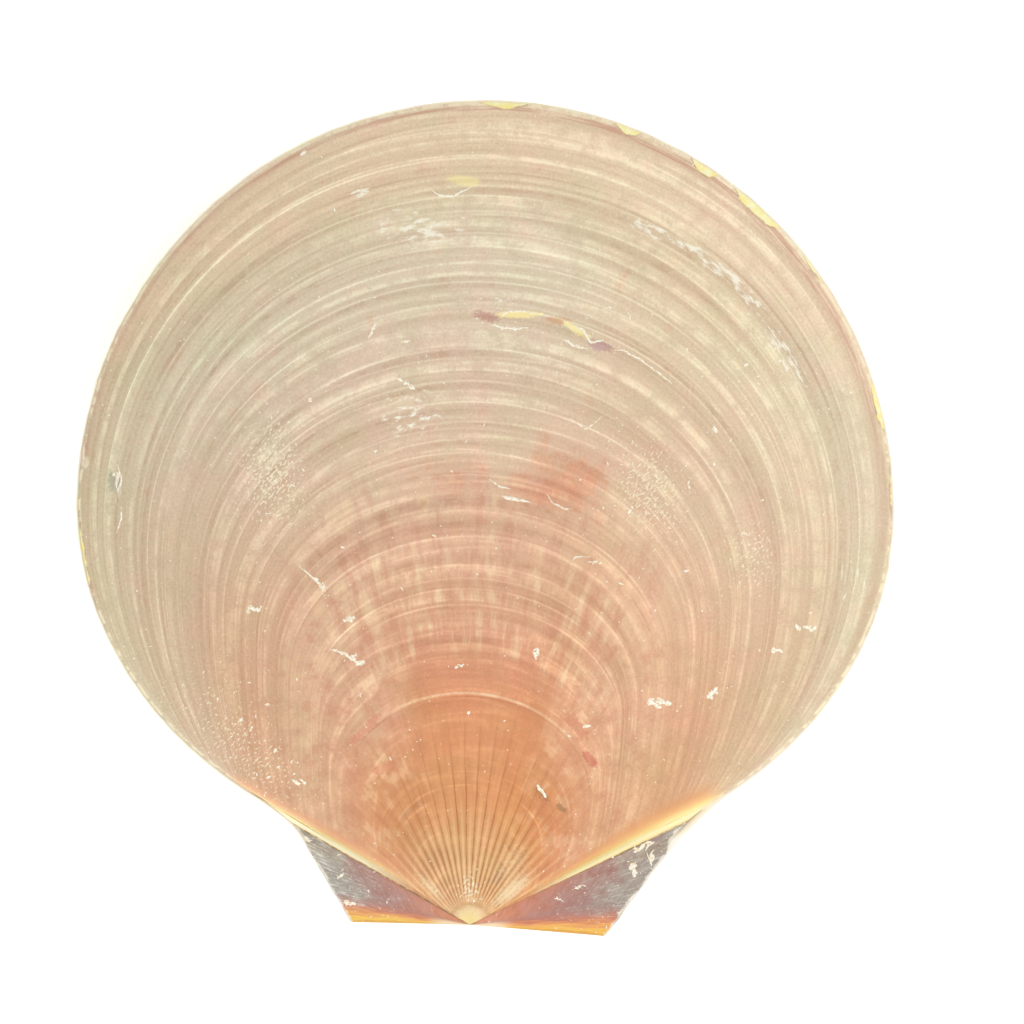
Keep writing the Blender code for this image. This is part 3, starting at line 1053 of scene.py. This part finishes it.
def add_scuffs(graph, colour, stage, ray):
    """White rubbed streaks that follow the growth lines where the surface is worn."""
    streaks = graph.lines(stage * 150.0, ray * 45.0, 4.0, 0.6)
    scuff = (graph.attribute("worn") * 0.32 + streaks).rise(0.73, 0.93)
    return (colour.coat(scuff * 0.85, 255, 250, 230), scuff)


def brown_disc_material():
    """The worn brown outside of the upper valve's disc."""
    graph = Graph("brown_disc")
    stage = graph.attribute("stage")
    ray = graph.attribute("ray")
    reach = graph.attribute("reach")
    flank = graph.attribute("flank")
    side = abs(ray)
    mottle = graph.noise(graph.plan, 0.4, 5.0, 0.65)
    streaks = graph.lines(ray * 30.0, stage * 14.0, 5.0, 0.62)
    grit = graph.noise(graph.plan, 3.0, 2.0, 0.7)
    colour = disc_colours(graph, stage, ray, side, flank, mottle, grit, streaks)
    colour = add_cross_stripes(graph, colour, stage, side, streaks)
    colour = add_peeled_patches(colour, stage, side, mottle, streaks)
    colour = add_stains_and_shadow(graph, colour, grit, mottle)
    colour = add_growth_lines(graph, colour, stage, ray, side, mottle)
    colour = add_young_fan(graph, colour, reach, side, mottle, grit)
    colour = add_rim(graph, colour, ray)
    colour = add_flank_band_with_painted_light(graph, colour, ray, reach, flank)
    colour, scuff = add_scuffs(graph, colour, stage, ray)
    colour, dust = add_dust(graph, colour, graph.attribute("grain"))
    relief = graph.lines(stage * 200.0, ray * 9.0, 2.0)
    roughness = scuff.math("MAXIMUM", dust) * 0.3 + 0.42
    graph.surface.inputs["Specular IOR Level"].default_value = 0.35
    return graph.finish(colour, roughness, relief, 0.04)


def brown_ear_material():
    """The upper valve's ears: ruddy near the beak, grey-brown outwards, and golden along the hinge."""
    graph = Graph("brown_ear")
    ear_stage = graph.attribute("ear_stage")
    ray = graph.attribute("ray")
    flank = graph.attribute("flank")
    hinge = graph.attribute("hinge")
    cloudy = graph.noise(graph.plan, 0.5, 5.0, 0.7)
    place = cloudy.sway(0.7, ear_stage)
    wing = graph.shades(
        place, (0.1, 218, 148, 112), (0.3, 202, 142, 118), (0.5, 180, 135, 124), (0.7, 172, 143, 134),
        (0.88, 166, 158, 146),
    )
    wing = wing.tint(graph.lines(ear_stage * 60.0, ray * 5.0, 3.0), (0.78, 0.76, 0.76), (1.2, 1.2, 1.2))
    wing = wing.tint(cloudy, (0.6, 0.56, 0.6), (1.4, 1.42, 1.42))
    streaky = graph.lines(hinge * 5.0, ear_stage * 4.0, 4.0, 0.6)
    place = streaky.sway(1.1, hinge)
    golden = graph.shades(
        place.math("DIVIDE", 2.0, clamp=True), (0.0, 228, 174, 84), (0.12, 250, 204, 96),
        (0.3, 240, 174, 104), (0.44, 214, 138, 100), (0.6, 190, 128, 112), (0.85, 180, 132, 120),
    )
    wing = graph.blend(hinge.rise(1.9, 0.9), wing, golden)
    wing = wing.dim(ray.rise(-0.1, 0.1), 1.0, 0.93, 0.92)
    # Painted shade along the foot of the flank wall, on the ear side
    foot = flank.rise(-0.18, -0.02) * cloudy.rise(0.42, 0.56, 0.2, 1.0)
    wing = wing.coat(foot, 140, 116, 88)
    rubbed = ear_stage * 0.26 + graph.lines(ear_stage * 9.0, ray * 110.0, 4.0, 0.7)
    rubbed = rubbed.rise(0.7, 0.94) * hinge.rise(0.6, 1.1)
    rubbed = rubbed * ray.rise(-0.1, 0.1, 1.0, 0.55)
    wing = wing.coat(rubbed * 0.7, 238, 236, 224)
    edge = cloudy * 1.2 + graph.attribute("rim")
    wing = wing.coat(edge.rise(0.85, 0.6, 0.0, 0.8), 248, 242, 226)
    creamy = graph.attribute("reach").rise(5.5, 2.5) * hinge.rise(1.6, 0.6)
    wing = wing.coat(creamy * 0.8, 250, 230, 194)
    colour, dust = add_dust(graph, wing, ear_stage * 0.3)
    roughness = rubbed.math("MAXIMUM", dust) * 0.3 + 0.4
    return graph.finish(colour, roughness, cloudy, 0.04)


def pale_material():
    """The smooth cream outside of the lower valve, yellow towards its margin."""
    graph = Graph("pale_shell")
    stage = graph.attribute("stage")
    ray = graph.attribute("ray")
    rim = graph.attribute("rim")
    ear = graph.attribute("ear")
    lines = fine_lines(graph, stage, ray)
    colour = graph.shades(
        stage, (0.0, 222, 186, 126), (0.2, 216, 194, 150), (0.6, 216, 200, 166), (0.9, 224, 202, 154),
        (1.0, 242, 226, 186),
    )
    colour = colour.tint(lines, (0.74, 0.64, 0.52), (1.12, 1.16, 1.22))
    tinge = graph.lines(ray * 14.0, rim, 2.0)
    edge = graph.blend(tinge.rise(0.42, 0.58), paint(255, 250, 222), paint(252, 240, 220))
    colour = graph.blend(rim.rise(0.9, 0.5), colour, edge)
    colour = colour.coat(ear * 0.8, 255, 250, 236)
    blot = graph.noise(graph.plan, 0.12, 4.0, 0.6)
    colour = colour.coat(blot.rise(0.55, 0.75, 0.0, 0.35), 232, 208, 178)
    roughness = blot.rise(0.3, 0.7, 0.3, 0.5)
    graph.surface.inputs["Specular IOR Level"].default_value = 0.4
    return graph.finish(colour, roughness, lines, 0.03)


def ligament_material():
    """The dark horny strip at the hinge."""
    graph = Graph("horn_strip")
    grain = graph.noise(graph.plan, 4.0, 3.0)
    colour = graph.blend(grain, paint(52, 34, 20), paint(110, 74, 40))
    roughness = grain.rise(0.3, 0.7, 0.45, 0.7)
    return graph.finish(colour, roughness, grain, 0.04)


def crust_material():
    """Chalky crusts, crumbs and lifted edges."""
    graph = Graph("crust")
    mottle = graph.noise(graph.plan, 3.0, 3.0, 0.6)
    colour = graph.blend(mottle.rise(0.36, 0.56), paint(240, 220, 184), paint(255, 252, 236))
    roughness = mottle.rise(0.3, 0.7, 0.5, 0.75)
    return graph.finish(colour, roughness, mottle, 0.06)


# Chips and crusts that stand on the brown valve

def ground_height(surface, x, y):
    """Height of the brown valve under a plan point, or None beside it."""
    start = Vector(((x + UMBO[0]) * MM, (y + UMBO[1]) * MM, 0.1))
    return surface.ray_cast(start, Vector((0.0, 0.0, -1.0)))[0]


def add_flake(points, faces, surface, place, length, width, turn, height, rng):
    """Adds one angular flake: a raised middle and ragged ring, and a ragged edge let into the surface."""
    ragged = rng.uniform(0.55, 1.1, CORNERS)
    rows = []
    for part, rise in ((0.0, height), (0.6, height * 0.9), (1.0, LET_IN)):
        row = []
        for corner in range(CORNERS if part else 1):
            angle = 2.0 * math.pi * (corner + 0.3 * ragged[corner]) / CORNERS
            x = length / 2.0 * part * ragged[corner] * math.cos(angle)
            y = width / 2.0 * part * ragged[corner] * math.sin(angle)
            across = place[0] + x * math.cos(turn) - y * math.sin(turn)
            along = place[1] + x * math.sin(turn) + y * math.cos(turn)
            hit = ground_height(surface, across, along)
            if hit is None:
                return
            row.append((hit.x, hit.y, hit.z + rise * MM))
        rows.append(row)
    first = len(points)
    for row in rows:
        points.extend(row)
    for corner in range(CORNERS):
        after = (corner + 1) % CORNERS
        inner, outer = first + 1, first + 1 + CORNERS
        faces.append((first, inner + corner, inner + after))
        faces.append((inner + corner, outer + corner, outer + after, inner + after))


def mark_flakes(mark, rng):
    """Place, length, width and turn of the small flakes that one mark is made of."""
    count = 4 + round(3.0 * mark.length * max(mark.width, 0.6))
    for _ in range(count):
        along = rng.uniform(-0.5, 0.5) * mark.length
        across = rng.normal(0.0, 0.24) * mark.width * (1.0 - abs(along) / mark.length)
        x = mark.x + along * math.cos(mark.turn) - across * math.sin(mark.turn)
        y = mark.y + along * math.sin(mark.turn) + across * math.cos(mark.turn)
        length = rng.uniform(0.35, 1.0) * min(mark.length, 0.8 + 0.25 * mark.length)
        width = rng.uniform(0.35, 0.8) * mark.width
        yield (x, y), length, width, mark.turn + rng.normal(0.0, 0.5)


def add_peel(points, faces, surface, peel, rng):
    """Adds one lifted edge: a narrow ragged ridge along a line, tapering at both ends."""
    knots = np.array(peel.points)
    spans = np.concatenate(([0.0], np.cumsum(np.linalg.norm(np.diff(knots, axis=0), axis=1))))
    count = max(6, round(spans[-1] / PEEL_STEP))
    places = np.linspace(0.0, spans[-1], count)
    line = np.stack((np.interp(places, spans, knots[:, 0]), np.interp(places, spans, knots[:, 1])), axis=1)
    line[1:-1] += rng.normal(0.0, 0.2 * peel.half_width, (count - 2, 2))
    along = np.gradient(line, axis=0)
    along /= np.linalg.norm(along, axis=1)[:, None]
    rows = []
    for number, (place, way) in enumerate(zip(line, along)):
        middle = 2.0 * number / (count - 1) - 1.0
        half = peel.half_width * (1.05 - abs(middle) ** 3) * rng.uniform(0.5, 1.3)
        row = []
        for part, rise in ((-1.0, LET_IN), (0.0, PEEL_HEIGHT), (1.0, LET_IN)):
            hit = ground_height(surface, place[0] - way[1] * part * half, place[1] + way[0] * part * half)
            if hit is None:
                return
            row.append((hit.x, hit.y, hit.z + rise * MM))
        rows.append(row)
    first = len(points)
    for row in rows:
        points.extend(row)
    for number in range(count - 1):
        for part in range(2):
            corner = first + 3 * number + part
            faces.append((corner, corner + 1, corner + 4, corner + 3))


def make_pieces(name, points, faces, material):
    """A mesh object from collected points and faces."""
    mesh = bpy.data.meshes.new(name)
    mesh.from_pydata(points, [], faces)
    mesh.materials.append(material)
    return add_object(name, mesh)


def make_marks(material, surface):
    """All crusts and lifted edges as one mesh."""
    points, faces = [], []
    rng = np.random.default_rng(MARK_SEED)
    for mark in MARKS:
        for place, length, width, turn in mark_flakes(mark, rng):
            add_flake(points, faces, surface, place, length, width, turn, MARK_HEIGHT, rng)
    for peel in PEELS:
        add_peel(points, faces, surface, peel, rng)
    return make_pieces("crusts", points, faces, material)


def make_specks(material, surface):
    """Small pale crumbs strewn over the brown valve, thicker in the grainy patches and on the outer ears."""
    points, faces = [], []
    rng = np.random.default_rng(SPECK_SEED)
    for _ in range(SPECK_TRIES):
        x, y = rng.uniform(-47.0, 47.0), rng.uniform(-1.0, 95.0)
        here = float(patches(np.array(x), np.array(y), GRAINY))
        turn, reach = math.atan2(x, y), math.hypot(x, y)
        on_ear = abs(turn) > math.radians(float(flank_foot(turn)))
        likely = EAR_CHANCE * smooth(reach, 8.0, 20.0) if on_ear else SPECK_CHANCE + GRAIN_CHANCE * here
        if rng.uniform() > likely:
            continue
        size = SPECK_SIZE * math.exp(rng.normal(0.0, 0.45))
        stretched = size * rng.uniform(1.0, 2.6)
        spin = rng.uniform(0.0, 3.14)
        add_flake(points, faces, surface, (x, y), 2.0 * stretched, 2.0 * size, spin, SPECK_HEIGHT, rng)
    return make_pieces("crumbs", points, faces, material)


def make_ligament():
    """The strip at the hinge, rounded and finely ribbed along its length."""
    low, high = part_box("hinge_ligament")
    length, width, height = high.x - low.x, high.y - low.y, high.z - low.z
    across = np.linspace(0.0, 1.0, 261)
    turns = np.linspace(0.0, 2.0 * math.pi, 25)[:-1]
    points = []
    for place in across:
        end = min(1.0, 12.0 * min(place, 1.0 - place))
        taper = 0.5 + 0.44 * end + 0.03 * float(waves(np.array(place * 90.0), STRIP_SEED))
        for turn in turns:
            y = math.copysign(abs(math.cos(turn)) ** 0.5, math.cos(turn)) * width / 2.0 * taper
            z = math.copysign(abs(math.sin(turn)) ** 0.5, math.sin(turn)) * height / 2.0 * taper
            middle = (low.y + high.y) / 2.0
            x = low.x + length * (0.005 + 0.99 * place)
            points.append((x, middle + y * 0.55, (low.z + high.z) / 2.0 + z))
    count = len(turns)
    faces = [tuple(range(count))[::-1], tuple(len(points) - count + step for step in range(count))]
    for row in range(len(across) - 1):
        for step in range(count):
            after = (step + 1) % count
            near, far = row * count, (row + 1) * count
            faces.append((near + step, near + after, far + after, far + step))
    strip = make_pieces("hinge_strip", points, faces, ligament_material())
    strip.data.shade_smooth()
    return strip


# Studio

def make_floor():
    """A wide plain pale floor."""
    bpy.ops.mesh.primitive_plane_add(size=FLOOR_SIZE, location=(0.0, 0.0, 0.0))
    floor = bpy.context.object
    floor.name = "studio_floor"
    material = bpy.data.materials.new("studio_floor")
    material.use_nodes = True
    surface = material.node_tree.nodes["Principled BSDF"]
    surface.inputs["Base Color"].default_value = (0.96, 0.96, 0.96, 1.0)
    surface.inputs["Roughness"].default_value = 0.9
    surface.inputs["Emission Color"].default_value = (1.0, 1.0, 1.0, 1.0)
    surface.inputs["Emission Strength"].default_value = FLOOR_GLOW
    floor.data.materials.append(material)
    return floor


def make_light(name, place, size, power):
    """One large soft light, turned to the shell."""
    light = bpy.data.lights.new(name, "AREA")
    light.shape = "DISK"
    light.size = size
    light.energy = power
    lamp = add_object(name, light)
    lamp.location = place
    lamp.rotation_mode = "QUATERNION"
    lamp.rotation_quaternion = (-Vector(place)).to_track_quat("-Z", "Y")


def light_scene():
    """Even light from all round, with a soft light on the right."""
    world = bpy.data.worlds.new("studio")
    world.use_nodes = True
    backdrop = world.node_tree.nodes["Background"]
    backdrop.inputs["Color"].default_value = (1.0, 1.0, 1.0, 1.0)
    backdrop.inputs["Strength"].default_value = SKY_STRENGTH
    bpy.context.scene.world = world
    for light in LIGHTS:
        make_light(*light)
    bpy.context.scene.view_settings.view_transform = "Standard"


def make_camera():
    """Looks straight down from far above, with the shell's far end leaning a little to the right."""
    camera = bpy.data.cameras.new("camera")
    camera.sensor_width = CAMERA_SENSOR
    camera.lens = CAMERA_LENS
    camera.clip_start = 0.05
    camera.clip_end = 10.0
    viewer = add_object("camera", camera)
    viewer.location = CAMERA_PLACE
    viewer.rotation_euler = (0.0, 0.0, CAMERA_TURN)
    bpy.context.scene.camera = viewer


def split_ears(skin):
    """Gives the faces beyond the flanks the second material."""
    mesh = skin.data
    for face in mesh.polygons:
        turn = math.atan2(face.center.x / MM - UMBO[0], face.center.y / MM - UMBO[1])
        face.material_index = int(math.degrees(abs(turn)) > flank_foot(turn))


def main():
    """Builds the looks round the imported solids."""
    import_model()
    brown_skin = valve_mesh(BROWN)
    brown_skin.data.materials.append(brown_disc_material())
    brown_skin.data.materials.append(brown_ear_material())
    split_ears(brown_skin)
    pale_skin = valve_mesh(PALE)
    pale_skin.data.materials.append(pale_material())
    strip = make_ligament()
    surface = BVHTree.FromObject(brown_skin, bpy.context.evaluated_depsgraph_get())
    crust = crust_material()
    pieces = [
        (brown_skin, "brown_valve"),
        (pale_skin, "pale_valve"),
        (strip, "ligament"),
        (make_marks(crust, surface), "brown_valve"),
        (make_specks(crust, surface), "brown_valve"),
    ]
    for piece, slot in pieces:
        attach(piece, "root")
    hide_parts("upper_valve")
    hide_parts("lower_valve")
    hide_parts("hinge_ligament")
    make_floor()
    light_scene()
    make_camera()


main()
